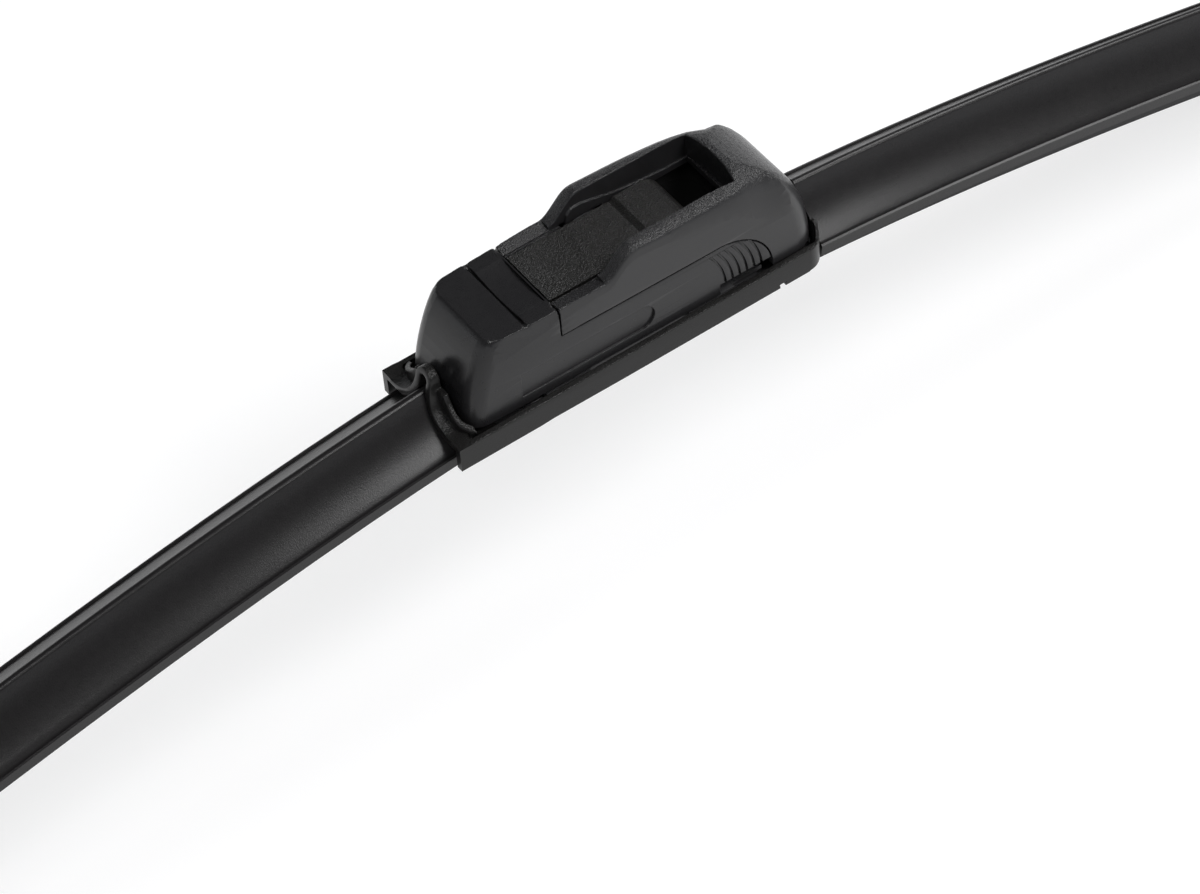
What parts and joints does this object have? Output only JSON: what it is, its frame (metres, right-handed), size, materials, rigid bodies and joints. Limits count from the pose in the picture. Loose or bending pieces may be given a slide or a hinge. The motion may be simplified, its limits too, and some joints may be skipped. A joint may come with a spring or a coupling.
{
  "type": "flat windscreen wiper blade",
  "caption": "Flat windscreen wiper blade with a tent-shaped rubber spoiler and a plastic connector for a hook arm.",
  "frame": {"origin": "middle of the flat tongue on which the arm's hook lies, midway between the blade's two tips", "axes": "+X along the blade towards its toe, the side with the connector's dome and the hook's bend; +Y across the blade; +Z away from the windscreen, out of the tongue"},
  "size_m": [0.4008, 0.0176, 0.0639],
  "materials": {
    "housing": "fine grain",
    "clip": "fine grain",
    "spoiler": "satin",
    "blade_rubber": "coated",
    "cap": "satin",
    "spring": "black coated spring steel",
    "carrier": "zinc plated sheet",
    "pin": "drawn wire"
  },
  "bodies": {
    "connector": {"hook_adapter": "housing", "nose_frame": "housing", "rear_cover": "housing"},
    "blade": {"base_clip": "clip", "rail_carrier": "carrier", "pivot_pin": "pin", "spring_rail_left": "spring", "spring_rail_right": "spring", "wiping_rubber": "blade_rubber", "spoiler_heel": "spoiler", "spoiler_toe": "spoiler", "end_cap_heel": "cap", "end_cap_toe": "cap"}
  },
  "joints": [
    {"name": "blade_rock", "type": "hinge", "parent": "connector", "child": "blade", "pos_m": [0, 0, -0.0032], "axis": [0, 1, 0], "range_deg": [-2.5, 2.5]}
  ]
}
